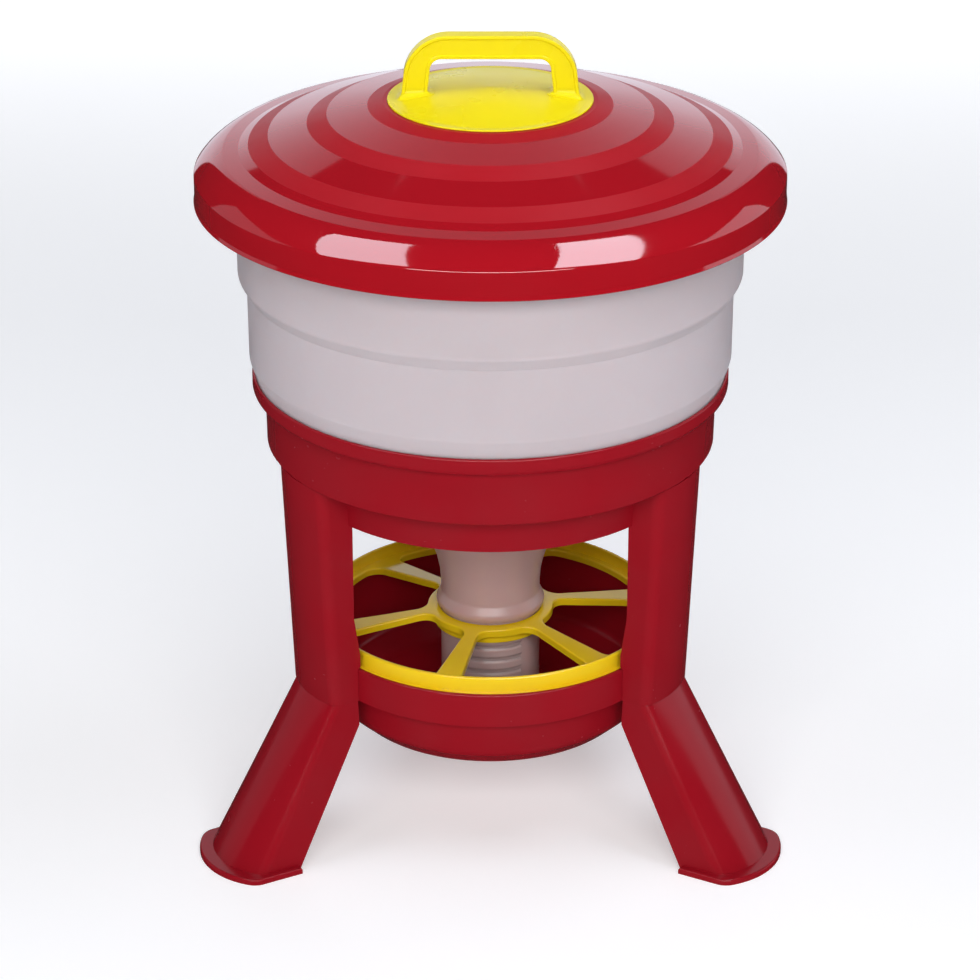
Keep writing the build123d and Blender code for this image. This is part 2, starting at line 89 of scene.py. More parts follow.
def length(title, description, millimetres):
    """A property that holds a length."""
    return bpy.props.FloatProperty(
        name=title, description=description, default=millimetres * mm, unit="LENGTH", subtype="DISTANCE"
    )


def pigment(title, description, colour):
    """A property that holds a colour."""
    return bpy.props.FloatVectorProperty(
        name=title, description=description, default=linear(colour), subtype="COLOR", size=3, min=0, max=1
    )


class FeederLid(bpy.types.PropertyGroup):
    """Sizes of the lid."""

    wall: length("Wall", "Thickness of the lid's moulding", 2.5)
    skirt: length("Skirt", "Height of the upright band round the lid", 20.7)
    bulge: length("Bulge", "How far the shoulder swells past its chord", 2.3)
    hem: length("Hem", "How far the skirt's lower edge stands out", 0.8)
    ring_round: length("Ring rounding", "Radius of the edges where the lid's bands meet", 1.2)


class FeederHandle(bpy.types.PropertyGroup):
    """Sizes of the lid's handle."""

    span: length("Span", "Width of the handle at the lid", 129)
    top_span: length("Top span", "Width of the handle at its top", 118.5)
    depth: length("Depth", "Thickness of the handle from front to back", 13)
    grip: length("Grip", "Height of the bar that the fingers hold", 17.2)
    window: length("Window", "Width of the finger gap at the lid", 92)
    top_window: length("Top window", "Width of the finger gap at its top", 85)
    corner: length("Corner", "Rounding of the handle's two top corners", 32)
    window_corner: length("Window corner", "Rounding of the finger gap's two top corners", 8)
    edge: length("Edge", "Rounding of the handle's long edges", 0.8)
    rim: length("Rim", "Width of the rim round the sunk panels", 2.2)
    sunk: length("Sunk", "Depth of the panels in the front and back faces", 0.9)
    flare: length("Flare", "Radius of the posts' feet on the disc", 5)
    disc: length("Disc", "Radius of the disc", 74.4)
    disc_edge: length("Disc edge", "Thickness of the disc at its edge", 1.2)
    dome: length("Dome", "Rise of the disc's dome above its edge", 8.2)
    sinking: length("Sinking", "How far the posts run into the disc", 3)


class FeederHopper(bpy.types.PropertyGroup):
    """Sizes of the hopper."""

    wall: length("Wall", "Thickness of the hopper's moulding", 2.8)
    seat: length("Seat", "Radius of the foot that stands in the cup", 174.2)
    foot: length("Foot", "Depth of the foot below the cup's lip", 8.3)
    low: length("Low belly", "Radius just above the cup's lip", 178.7)
    belly: length("Belly", "Radius under the shoulder", 179)
    shoulder: length("Shoulder", "Radius above the shoulder", 185.5)
    turn: length("Turn", "Height over which the belly widens", 22)
    crease: length("Crease", "Height of the shoulder's crease above the seat", 77)
    step: length("Step", "Height of the shoulder", 10)
    rolled: length("Rolled rim", "Depth of the rolled rim", 10)
    funnel: length("Funnel", "Radius at the funnel's top", 163.4)
    outlet: length("Outlet", "Outer radius of the outlet", 31)
    outlet_length: length("Outlet length", "Length of the outlet below the funnel", 54)


class FeederRegulator(bpy.types.PropertyGroup):
    """Sizes of the regulator tube."""

    wall: length("Wall", "Thickness of the tube's moulding", 2.6)
    tube: length("Tube", "Outer radius of the tube", 37.7)
    trumpet: length("Trumpet", "Radius of the trumpet's lip", 56)
    trumpet_height: length("Trumpet height", "Height over which the tube flares", 54)
    bead: length("Bead", "Radius of the bead that sits on the grid", 41.1)
    bead_height: length("Bead height", "Height of the bead", 12)
    seat: length("Seat", "Height of the bead's foot above the grid", 0.3)
    pitch: length("Rib pitch", "Distance from one rib to the next", 10.3)
    rib: length("Rib height", "Height of one rib", 8.6)
    rib_rise: length("Rib rise", "How far a rib stands out", 1.2)
    first_rib: length("First rib", "Middle of the first rib below the grid's hub", 16.5)
    rib_angle: bpy.props.FloatProperty(
        name="Rib angle",
        description="Angle that each group of ribs spans",
        default=radians(76),
        unit="ROTATION",
        subtype="ANGLE",
    )
    ribs: bpy.props.IntProperty(
        name="Ribs", description="Ribs on the front and on the rear", default=4, min=1
    )


class FeederColours(bpy.types.PropertyGroup):
    """Pigments of the feeder's plastics."""

    lid: pigment("Lid red", "Pigment of the lid", "#A10F1B")
    stand: pigment("Stand red", "Pigment of the stand, the legs and the pan", "#93101D")
    handle: pigment("Handle yellow", "Pigment of the handle", "#E0CE10")
    grid: pigment("Grid yellow", "Pigment of the grid", "#F2CC1C")
    hopper: pigment("Hopper", "Natural plastic of the hopper", "#C5BABE")
    # The tube's own milky tone, darker and redder than the hopper's by painted shade and painted red bounce
    # from the stand
    tube: pigment("Tube", "Natural plastic of the regulator tube", "#C4A29E")
    floor: pigment("Floor", "Acrylic that the feeder stands on", "#E8E8E8")


class FeederStage(bpy.types.PropertyGroup):
    """Camera and floor."""

    distance: length("Distance", "Camera in front of the tower's axis", 2460)
    height: length("Height", "Camera above the floor", 1377.5)
    aside: length("Aside", "Camera to the left of the tower's axis", 0.3)
    pitch: bpy.props.FloatProperty(
        name="Pitch",
        description="How far the camera looks down",
        default=radians(24.5),
        unit="ROTATION",
        subtype="ANGLE",
    )
    focal: bpy.props.FloatProperty(
        name="Focal length",
        description="Lens in millimetres on a 36 mm sensor",
        default=131.39,
        unit="CAMERA",
    )
    floor: length("Floor", "Half the floor's width", 15000)


def add(tree, kind, inputs=None, **settings):
    """Adds a node with its settings, and feeds its inputs with values or with other nodes' sockets."""
    node = tree.nodes.new(kind)
    for name, value in settings.items():
        setattr(node, name, value)
    for name, value in (inputs or {}).items():
        if isinstance(value, bpy.types.NodeSocket):
            tree.links.new(value, node.inputs[name])
        else:
            node.inputs[name].default_value = value
    return node


def new_material(name):
    """An empty material with its output, and the object's coordinates."""
    material = bpy.data.materials.new(name)
    material.use_nodes = True
    tree = material.node_tree
    tree.nodes.clear()
    output = tree.nodes.new("ShaderNodeOutputMaterial")
    place = add(tree, "ShaderNodeTexCoord").outputs["Object"]
    return material, tree, output, place


def moulded_relief(tree, place, peel, strength):
    """The faint orange peel that a steel mould leaves in plastic, with hairline scuffs from handling."""
    grain = add(
        tree,
        "ShaderNodeTexNoise",
        {"Vector": place, "Scale": 1 / peel, "Detail": 2.0, "Roughness": 0.45},
    )
    stretch = add(
        tree, "ShaderNodeMapping", {"Vector": place, "Rotation": (0.6, 0.5, 0.9), "Scale": (1.0, 0.03, 1.0)}
    )
    scuffs = add(
        tree,
        "ShaderNodeTexNoise",
        {"Vector": stretch.outputs["Vector"], "Scale": 1 / (3 * mm), "Detail": 1.0, "Roughness": 0.3},
    )
    scratch = add(
        tree,
        "ShaderNodeMapRange",
        {"Value": scuffs.outputs["Fac"], "From Min": 0.72, "From Max": 0.80, "To Min": 0.0, "To Max": 1.0},
    )
    relief = add(
        tree,
        "ShaderNodeBump",
        {"Height": grain.outputs["Fac"], "Strength": strength, "Distance": 0.05 * mm},
    )
    return relief.outputs["Normal"], scratch.outputs["Result"]


def moulded_roughness(tree, place, scratch, low, high):
    """Roughness that drifts over the moulding, as handling and the mould's polish leave it."""
    drift = add(tree, "ShaderNodeTexNoise", {"Vector": place, "Scale": 1 / (45 * mm), "Detail": 3.0})
    haze = add(
        tree,
        "ShaderNodeMapRange",
        {"Value": drift.outputs["Fac"], "From Min": 0.35, "From Max": 0.7, "To Min": low, "To Max": high},
    )
    return add(
        tree,
        "ShaderNodeMath",
        {0: scratch, 1: 0.06, 2: haze.outputs["Result"]},
        operation="MULTIPLY_ADD",
    ).outputs["Value"]


def moulded_colour(tree, place, colour, shade, flow):
    """Pigment that clouds slightly along the melt's flow, by a share of the way to a darker tone."""
    darker = [channel * 0.62 for channel in colour]
    clouds = add(
        tree,
        "ShaderNodeTexNoise",
        {"Vector": place, "Scale": 1 / flow, "Detail": 4.0, "Roughness": 0.6, "Distortion": 0.6},
    )
    ramp = add(
        tree,
        "ShaderNodeMapRange",
        {"Value": clouds.outputs["Fac"], "From Min": 0.3, "From Max": 0.7, "To Min": 0.0, "To Max": shade},
    )
    return add(
        tree,
        "ShaderNodeMix",
        {0: ramp.outputs["Result"], 6: (*colour, 1.0), 7: (*darker, 1.0)},
        data_type="RGBA",
    ).outputs[2]


def pigmented_polypropylene(
    name, colour, low, high, glow=0.0, peel=2.2 * mm, relief=0.12, gloss=0.5, ior=polypropylene_ior
):
    """Polypropylene, injection-moulded in a polished or an eroded steel mould.

    It gives the eye a deep even colour under a sharp, slightly rippled gloss, or a satin sheen. Roughness
    drifts between low and high, glow is the share of light that sinks in, and gloss scales the reflection.
    """
    material, tree, output, place = new_material(name)
    normal, scratch = moulded_relief(tree, place, peel, relief)
    shader = add(
        tree,
        "ShaderNodeBsdfPrincipled",
        {
            "Base Color": moulded_colour(tree, place, colour, shade=0.12, flow=70 * mm),
            "Roughness": moulded_roughness(tree, place, scratch, low, high),
            "IOR": ior,
            "Specular IOR Level": gloss,
            "Normal": normal,
            "Subsurface Weight": glow,
            "Subsurface Radius": (1.0, 0.6, 0.2),
            "Subsurface Scale": 3 * mm,
        },
    )
    tree.links.new(shader.outputs["BSDF"], output.inputs["Surface"])
    return material


def natural_polypropylene(name, colour, low, high):
    """Unpigmented polypropylene, injection-moulded.

    It gives the eye a milky body that light sinks into, under a satin surface.
    """
    material, tree, output, place = new_material(name)
    normal, scratch = moulded_relief(tree, place, peel=3.5 * mm, strength=0.16)
    shader = add(
        tree,
        "ShaderNodeBsdfPrincipled",
        {
            "Base Color": moulded_colour(tree, place, colour, shade=0.1, flow=90 * mm),
            "Roughness": moulded_roughness(tree, place, scratch, low, high),
            "IOR": polypropylene_ior,
            "Normal": normal,
            "Subsurface Weight": 0.7,
            "Subsurface Radius": (1.0, 0.75, 0.7),
            "Subsurface Scale": 7 * mm,
        },
    )
    tree.links.new(shader.outputs["BSDF"], output.inputs["Surface"])
    return material


def opal_acrylic(name, colour):
    """Cast opal acrylic lit faintly from below, as a photographer's table is.

    It gives the eye an even pale ground that softens every shadow, under a faint nap. Away from the feeder
    it is lit more, so that it stays pale where the lights don't reach.
    """
    material, tree, output, place = new_material(name)
    nap = add(tree, "ShaderNodeTexNoise", {"Vector": place, "Scale": 1 / (4 * mm), "Detail": 2.0})
    relief = add(
        tree,
        "ShaderNodeBump",
        {"Height": nap.outputs["Fac"], "Strength": 0.1, "Distance": 0.1 * mm},
    )
    reach = add(tree, "ShaderNodeVectorMath", {0: place}, operation="LENGTH").outputs["Value"]
    light = add(
        tree,
        "ShaderNodeMapRange",
        {"Value": reach, "From Min": 1.0, "From Max": 3.5, "To Min": 0.34, "To Max": 0.85},
        interpolation_type="SMOOTHSTEP",
    )
    shader = add(
        tree,
        "ShaderNodeBsdfPrincipled",
        {
            "Base Color": (*colour, 1.0),
            "Roughness": 0.85,
            "Normal": relief.outputs["Normal"],
            "Emission Color": (1.0, 1.0, 1.0, 1.0),
            "Emission Strength": light.outputs["Result"],
        },
    )
    tree.links.new(shader.outputs["BSDF"], output.inputs["Surface"])
    return material


def outline(mesh, corners, closed=True, plane_y=0.0):
    """A chain of edges in the XZ plane through (x, z, radius) corners, each rounded to its radius."""
    points = [mesh.verts.new((x, plane_y, z)) for x, z, radius in corners]
    ends = points[1:] + points[:1] if closed else points[1:]
    for pair in zip(points, ends):
        mesh.edges.new(pair)
    places = [point.co.copy() for point in points]
    for i, (x, z, radius) in enumerate(corners):
        if radius > 0:
            arriving = places[i] - places[i - 1]
            leaving = places[(i + 1) % len(places)] - places[i]
            turn = arriving.angle(leaving)
            bmesh.ops.bevel(
                mesh,
                geom=[points[i]],
                offset=radius * tan(turn / 2),
                offset_type="OFFSET",
                segments=max(2, round(turn / radians(7.5))),
                profile=0.5,
                affect="VERTICES",
                material=-1,
            )


def close_up(mesh):
    """Merges doubles and turns every face outwards."""
    bmesh.ops.remove_doubles(mesh, verts=mesh.verts, dist=mm / 1000)
    bmesh.ops.recalc_face_normals(mesh, faces=mesh.faces)


def slab(mesh, corners, thickness):
    """A closed slab of an outline of (x, z, radius) corners, midway over the XZ plane."""
    outline(mesh, corners, plane_y=-thickness / 2)
    bmesh.ops.contextual_create(mesh, geom=mesh.edges[:])
    made = bmesh.ops.extrude_face_region(mesh, geom=mesh.faces[:])
    back = [item for item in made["geom"] if isinstance(item, bmesh.types.BMVert)]
    bmesh.ops.translate(mesh, verts=back, vec=(0, thickness, 0))
    bmesh.ops.recalc_face_normals(mesh, faces=mesh.faces)


def turned(corners, closed=True, steps=192):
    """A bmesh of an outline of (radius, height, rounding) corners, turned about the tower's axis."""
    mesh = bmesh.new()
    outline(mesh, corners, closed)
    bmesh.ops.spin(
        mesh,
        geom=mesh.verts[:] + mesh.edges[:],
        cent=(0, 0, 0),
        axis=(0, 0, 1),
        angle=2 * pi,
        steps=steps,
        use_merge=True,
    )
    close_up(mesh)
    return mesh


def bulged(start, end, bulge):
    """The corner whose rounding swells a straight stretch outwards by the bulge, as (x, z, radius)."""
    chord = Vector(end) - Vector(start)
    middle = (Vector(start) + Vector(end)) / 2
    outwards = Vector((-chord.y, chord.x)).normalized()
    if outwards.x < 0:
        outwards.negate()
    corner = middle + 2 * bulge * outwards
    full_radius = (chord.length**2 / 4 + bulge**2) / (2 * bulge)
    return corner.x, corner.y, 0.9 * full_radius


def placed(mesh, name, material):
    """Puts a finished bmesh into the scene as a thing of the material."""
    data = bpy.data.meshes.new(name)
    mesh.to_mesh(data)
    mesh.free()
    data.materials.append(material)
    thing = bpy.data.objects.new(name, data)
    bpy.context.scene.collection.objects.link(thing)
    return thing


def shown(mesh, name, body, material, slot, *nodes):
    """Shows a finished bmesh as a smooth piece that rides on a body and stands for the nodes."""
    piece = placed(mesh, name, material)
    piece.data.shade_smooth()
    piece.data.set_sharp_from_angle(angle=crease_angle)
    flats = piece.modifiers.new("Weighted normals", "WEIGHTED_NORMAL")
    flats.keep_sharp = True
    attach(piece, body)
    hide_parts(*nodes)
    return piece


def dressed(node, material):
    """Gives a node that is shown as it is its finish."""
    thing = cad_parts[node]
    for slot in thing.material_slots:
        slot.material = material


def make_lid(sizes):
    """The lid: a skirt with a hem, a swelling shoulder and rings that step up to the centre."""
    rim = hopper_high.z
    edge = lid_high.x - sizes.hem
    skirt_top = lid_low.z + sizes.skirt
    rings = [(radius * mm, rim + height * mm) for radius, height in lid_rings]
    top = [(radius, height, sizes.ring_round) for radius, height in rings]
    top[:0] = [(0, lid_high.z, 0), (satin_start * mm, lid_high.z, 0)]
    outside = [bulged(rings[-1], (edge, skirt_top), sizes.bulge), (edge, skirt_top, sizes.ring_round)]
    outside += [(edge, lid_low.z + 4 * sizes.hem, sizes.hem), (edge + sizes.hem, lid_low.z, sizes.hem / 2)]
    inner_top = (edge - sizes.wall, skirt_top - sizes.wall / 2)
    inner_ring = (rings[-1][0] - sizes.wall / 3, rings[-1][1] - sizes.wall)
    inside = [(edge - sizes.wall, lid_low.z, sizes.hem / 2), (*inner_top, sizes.ring_round)]
    inside += [bulged(inner_ring, inner_top, sizes.bulge), (*inner_ring, sizes.ring_round)]
    inside += [(radius, height - sizes.wall, sizes.ring_round) for radius, height in reversed(rings[:-1])]
    inside.append((0, lid_high.z - sizes.wall, 0))
    mesh = turned(top + outside + inside, closed=False)
    for face in mesh.faces:
        middle = face.calc_center_median()
        radius = hypot(middle.x, middle.y) / mm
        if face.normal.z > 0 and any(low < radius < high for low, high in satin_steps):
            face.material_index = 1
    return mesh


def dome_radius(sizes):
    """Radius of the disc's dome, and of the circle that it stands on."""
    dome_share = 0.93
    foot = sizes.disc * dome_share
    return (foot**2 + sizes.dome**2) / (2 * sizes.dome), foot


def dome_level(sizes, x, y):
    """Height of the disc's dome above the disc's seat."""
    ball, foot = dome_radius(sizes)
    reach = min(hypot(x, y), foot)
    return sizes.disc_edge + sizes.dome - ball + sqrt(ball**2 - reach**2)


def make_posts_feet(mesh, sizes, foot, outer, inner):
    """Flares the two posts' lower ends on a quarter round that meets the dome and runs into it."""
    turns = 10
    corners = 28
    # A foot covers its post's sunk faces by a hair, and its quarter round ends a hair inside the dome
    cover = 0.02 * mm
    tuck = 0.06 * mm
    half_width = (outer - inner) / 2 - sizes.edge
    half_depth = sizes.depth / 2 - sizes.sunk - sizes.edge + cover
    half_step = Matrix.Rotation(pi / corners, 4, "Z")
    for centre in (-(outer + inner) / 2, (outer + inner) / 2):
        made = bmesh.ops.create_circle(mesh, cap_ends=True, segments=corners, radius=1, matrix=half_step)
        face = made["verts"][0].link_faces[0]
        rays = [corner.co.copy() for corner in face.verts]
        for turn in range(-1, turns + 2):
            angle = max(0, min(turn / turns, 1)) * pi / 2
            reach = sizes.edge + sizes.flare * (1 - cos(angle))
            if turn >= 0:
                face = bmesh.ops.extrude_discrete_faces(mesh, faces=[face])["faces"][0]
            for corner, ray in zip(face.verts, rays):
                x = centre + copysign(half_width, ray.x) + reach * ray.x
                y = copysign(half_depth, ray.y) + reach * ray.y
                level = foot - (foot - lid_high.z - dome_level(sizes, x, y) + tuck) * sin(angle)
                if turn < 0:
                    level += mm
                elif turn > turns:
                    level -= sizes.sinking
                corner.co = x, y, level
        bmesh.ops.contextual_create(mesh, geom=made["verts"])
    bmesh.ops.recalc_face_normals(mesh, faces=mesh.faces)


def make_handle(sizes):
    """The handle's arched grip with sunk faces, on flared feet."""
    top = handle_high.z
    seat = lid_high.z
    base = seat + mm
    foot = seat + dome_level(sizes, (sizes.span + sizes.window) / 4, 0) + sizes.flare

    def sides(level):
        """Outer and inner faces of the right post at a level, which lean in towards the top."""
        share = (level - seat) / (top - seat)
        outer = sizes.span + (sizes.top_span - sizes.span) * share
        inner = sizes.window + (sizes.top_window - sizes.window) * share
        return outer / 2, inner / 2

    outer, inner = sides(base)
    half_top, gap_top = sizes.top_span / 2, sizes.top_window / 2
    mesh = bmesh.new()
    corners = [
        (-outer, base, 0),
        (-half_top, top, sizes.corner),
        (half_top, top, sizes.corner),
        (outer, base, 0),
        (inner, base, 0),
        (gap_top, top - sizes.grip, sizes.window_corner),
        (-gap_top, top - sizes.grip, sizes.window_corner),
        (-inner, base, 0),
    ]
    slab(mesh, corners, sizes.depth)
    mesh.normal_update()

    # The large faces in front and behind get a sunk panel each
    panels = [face for face in mesh.faces if abs(face.normal.y) > 0.99 and face.calc_area() > 1e-3]
    for panel in panels:
        bmesh.ops.inset_region(mesh, faces=[panel], thickness=sizes.rim, use_even_offset=True)
        bmesh.ops.inset_region(
            mesh, faces=[panel], thickness=sizes.sunk, depth=-sizes.sunk, use_even_offset=True
        )

    # The sharp edges that run round the front and the back, above the feet
    edges = [
        edge
        for edge in mesh.edges
        if edge.is_manifold
        and edge.calc_face_angle() > radians(50)
        and max(corner.co.z for corner in edge.verts) > foot
        and abs(edge.verts[0].co.y - edge.verts[1].co.y) < 0.1 * mm
    ]
    bmesh.ops.bevel(
        mesh,
        geom=edges,
        offset=sizes.edge,
        offset_type="OFFSET",
        segments=3,
        profile=0.5,
        affect="EDGES",
        clamp_overlap=True,
        material=-1,
    )
    make_posts_feet(mesh, sizes, foot, *sides(foot))
    return mesh


def make_disc(sizes):
    """The handle's domed disc, closed below."""
    seat = lid_high.z + 0.1 * mm
    edge = seat + sizes.disc_edge
    ball, foot = dome_radius(sizes)
    return turned(
        [
            (0, edge + sizes.dome, 0),
            (ball * tan(asin(foot / ball) / 2), edge + sizes.dome, ball * arc_share),
            (foot, edge, 4 * mm),
            (sizes.disc, edge, 0.8 * mm),
            (sizes.disc, seat, 0.3 * mm),
            (0, seat, 0),
        ],
        closed=False,
    )


def make_hooks():
    """Four hooks that snap through the lid under the disc."""
    width = 12 * mm
    barb = 1.4 * mm
    drop = 3.6 * mm
    nose = 0.3 * mm
    inner, outer = 48.5 * mm, 51.5 * mm
    root = lid_high.z + mm
    catch = lid_high.z - 2.8 * mm
    mesh = bmesh.new()
    corners = [
        (inner, root, 0),
        (outer, root, 0),
        (outer, catch, 0),
        (outer + barb, catch, nose),
        (outer - mm, catch - drop, nose),
        (inner, catch - drop, nose),
    ]
    slab(mesh, corners, width)
    bmesh.ops.rotate(mesh, verts=mesh.verts, cent=(0, 0, 0), matrix=Matrix.Rotation(pi / 4, 3, "Z"))
    first = mesh.verts[:] + mesh.edges[:] + mesh.faces[:]
    for quarter in (1, 2, 3):
        made = bmesh.ops.duplicate(mesh, geom=first)
        copy = [item for item in made["geom"] if isinstance(item, bmesh.types.BMVert)]
        bmesh.ops.rotate(mesh, verts=copy, cent=(0, 0, 0), matrix=Matrix.Rotation(quarter * pi / 2, 3, "Z"))
    return mesh


def joined(*meshes):
    """One bmesh that holds several."""
    whole = bmesh.new()
    for mesh in meshes:
        data = bpy.data.meshes.new("joined")
        mesh.to_mesh(data)
        mesh.free()
        whole.from_mesh(data)
        bpy.data.meshes.remove(data)
    return whole


def make_hopper(sizes):
    """The hopper: a foot, a belly, a shoulder, a rolled rim, a funnel and its outlet."""
    wall = sizes.wall
    seat = stand_high.z - sizes.foot
    top = hopper_high.z
    rim = hopper_high.x
    outlet_top = hopper_low.z + sizes.outlet_length
    slope = (seat - outlet_top) / (sizes.funnel - sizes.outlet)
    thick = wall * hypot(1, slope)
    crease = seat + sizes.crease
    outside = [
        (sizes.outlet, hopper_low.z, 0.8 * mm),
        (sizes.outlet, outlet_top, 8 * mm),
        (sizes.funnel, seat, mm),
        (sizes.seat, seat, 2.5 * mm),
        (sizes.seat, seat + sizes.foot, 3 * mm),
        (sizes.low, seat + sizes.turn, 9 * mm),
        (sizes.belly, crease, 0.7 * mm),
        (sizes.shoulder, crease + sizes.step, 6 * mm),
        (sizes.shoulder, top - wall, mm),
        (rim - wall, top - wall, 0),
        (rim - wall, top - sizes.rolled, 0),
        (rim, top - sizes.rolled, mm),
        (rim, top, 2 * mm),
    ]
    inside = [
        (sizes.shoulder - wall, top, 1.2 * mm),
        (sizes.shoulder - wall, crease + sizes.step, 5 * mm),
        (sizes.belly - wall, crease, mm),
        (sizes.low - wall, seat + sizes.turn, 8 * mm),
        (sizes.seat - wall, seat + sizes.foot, mm),
        (sizes.seat - wall, seat + thick, mm),
        (sizes.funnel, seat + thick, mm),
        (sizes.outlet - wall, outlet_top + thick - wall * slope, 7 * mm),
        (sizes.outlet - wall, hopper_low.z, 0.8 * mm),
    ]
    return turned(outside + inside)


def make_ribs(sizes, hub):
    """Soft ribs on the front and rear of the tube, below the grid."""
    mesh = bmesh.new()
    root = sizes.tube - sizes.wall / 2
    crest = sizes.tube + sizes.rib_rise
    half = sizes.rib / 2
    half_crest = half * 0.62
    for i in range(sizes.ribs):
        level = hub - sizes.first_rib - i * sizes.pitch
        for side in (-1, 1):
            rib = bmesh.new()
            outline(
                rib,
                [
                    (root, level - half, 0),
                    (sizes.tube, level - half, 0),
                    (crest, level - half_crest, 3 * mm),
                    (crest, level + half_crest, 3 * mm),
                    (sizes.tube, level + half, 0),
                    (root, level + half, 0),
                ],
            )
            bmesh.ops.contextual_create(rib, geom=rib.edges[:])
            start = side * pi / 2 - sizes.rib_angle / 2
            bmesh.ops.rotate(rib, verts=rib.verts, cent=(0, 0, 0), matrix=Matrix.Rotation(start, 3, "Z"))
            bmesh.ops.spin(
                rib,
                geom=rib.verts[:] + rib.edges[:] + rib.faces[:],
                cent=(0, 0, 0),
                axis=(0, 0, 1),
                angle=sizes.rib_angle,
                steps=24,
            )
            bmesh.ops.recalc_face_normals(rib, faces=rib.faces)
            mesh = joined(mesh, rib)
    return mesh


def make_regulator(sizes):
    """The regulator tube: a trumpet, a bead that sits on the grid's hub, and ribs."""
    wall = sizes.wall
    hub = grid_high.z
    reach = sizes.trumpet - sizes.tube
    bend = (reach**2 + sizes.trumpet_height**2) / (2 * reach)
    flare = asin(sizes.trumpet_height / bend)
    lip = tube_high.z - wall * sin(flare)
    corner = lip - sizes.trumpet_height + bend * tan(flare / 2)
    seat = hub + sizes.seat
    outside = [
        (sizes.tube, tube_low.z, 0.8 * mm),
        (sizes.tube, seat, 0),
        (sizes.bead - 0.9 * mm, seat, 0.7 * mm),
        (sizes.bead + 0.6 * mm, seat + sizes.bead_height / 3, 5 * mm),
        (sizes.tube, seat + sizes.bead_height, 5 * mm),
        (sizes.tube, corner, bend * arc_share),
        (sizes.trumpet, lip, 0.8 * mm),
        (sizes.trumpet - wall * cos(flare), tube_high.z, 0.8 * mm),
    ]
    inside = [
        (sizes.tube - wall, corner + wall * tan(flare / 2), bend * arc_share),
        (sizes.tube - wall, tube_low.z, 0.8 * mm),
    ]
    return joined(turned(outside + inside), make_ribs(sizes, hub))


def make_floor(stage, finish):
    """A flat pale floor that no gloss mirrors."""
    mesh = bmesh.new()
    bmesh.ops.create_grid(mesh, x_segments=8, y_segments=8, size=stage.floor)
    floor = placed(mesh, "floor", finish)
    floor.visible_glossy = False


def make_backdrop(stage, finish):
    """A round pale wall near the floor's edge, which is seen but lights nothing."""
    radius = 0.95 * stage.floor
    foot = Matrix.Translation((0, 0, -10 * mm))
    mesh = bmesh.new()
    ring = bmesh.ops.create_circle(mesh, segments=64, radius=radius, matrix=foot)["verts"]
    edges = list({edge for corner in ring for edge in corner.link_edges})
    made = bmesh.ops.extrude_edge_only(mesh, edges=edges)["geom"]
    raised = [item for item in made if isinstance(item, bmesh.types.BMVert)]
    bmesh.ops.translate(mesh, verts=raised, vec=(0, 0, stage.floor))
    wall = placed(mesh, "backdrop", finish)
    wall.visible_glossy = False
    wall.visible_diffuse = False
    wall.visible_transmission = False
    wall.visible_shadow = False


def panel_light(name, place, target, width, height, radiance, colour):
    """A rectangular light at a place, facing a target, whose face has the given radiance."""
    light = bpy.data.lights.new(name, "AREA")
    light.shape = "RECTANGLE"
    light.size = width
    light.size_y = height
    light.energy = radiance * pi * width * height
    light.color = colour
    lamp = bpy.data.objects.new(name, light)
    bpy.context.scene.collection.objects.link(lamp)
    lamp.location = place
    lamp.rotation_euler = (Vector(target) - Vector(place)).to_track_quat("-Z", "Y").to_euler()
    return lamp


def fade(lamp, bottom, top, low, high):
    """Lets an upright light's radiance fade between two heights above the floor, fast at first."""
    lamp.data.use_nodes = True
    tree = lamp.data.node_tree
    place = add(tree, "ShaderNodeNewGeometry").outputs["Position"]
    height = add(tree, "ShaderNodeSeparateXYZ", {"Vector": place}).outputs["Z"]
    left = add(
        tree,
        "ShaderNodeMapRange",
        {"Value": height, "From Min": low, "From Max": high, "To Min": 1.0, "To Max": 0.0},
    )
    bent = add(tree, "ShaderNodeMath", {0: left.outputs["Result"], 1: 2.0}, operation="POWER")
    strength = add(
        tree, "ShaderNodeMath", {0: bent.outputs["Value"], 1: bottom - top, 2: top}, operation="MULTIPLY_ADD"
    )
    tree.links.new(strength.outputs["Value"], tree.nodes["Emission"].inputs["Strength"])


def tilt(lamp, across, rise):
    """Turns a rectangular light so that its width and its height run along two directions."""
    across, rise = Vector(across).normalized(), Vector(rise).normalized()
    lamp.rotation_euler = Matrix((across, rise, across.cross(rise))).transposed().to_euler()


class FEEDER_OT_lid(bpy.types.Operator):
    """Models the lid"""

    bl_idname = "feeder.lid"
    bl_label = "Lid"

    def execute(self, context):
        feeder = context.scene.feeder
        # The mould's mirror polish reads as more gloss than polypropylene's own
        finish = pigmented_polypropylene(
            "polished_red_polypropylene", feeder.colours.lid, 0.03, 0.08, gloss=1.0, ior=1.6
        )
        satin = pigmented_polypropylene(
            "satin_red_polypropylene", feeder.colours.lid, 0.4, 0.48, peel=0.8 * mm, relief=0.3, gloss=0.24
        )
        lid = shown(make_lid(feeder.lid), "lid_shell", "lid", finish, "lid_red", "lid")
        lid.data.materials.append(satin)
        return {"FINISHED"}


class FEEDER_OT_handle(bpy.types.Operator):
    """Models the handle on the lid"""

    bl_idname = "feeder.handle"
    bl_label = "Handle"

    def execute(self, context):
        feeder = context.scene.feeder
        finish = pigmented_polypropylene(
            "polished_yellow_polypropylene", feeder.colours.handle, 0.26, 0.34, 0.1, gloss=0.18, relief=0.04
        )
        mesh = joined(make_handle(feeder.handle), make_disc(feeder.handle), make_hooks())
        shown(mesh, "handle_grip", "lid", finish, "bright_yellow", "lid_handle")
        return {"FINISHED"}


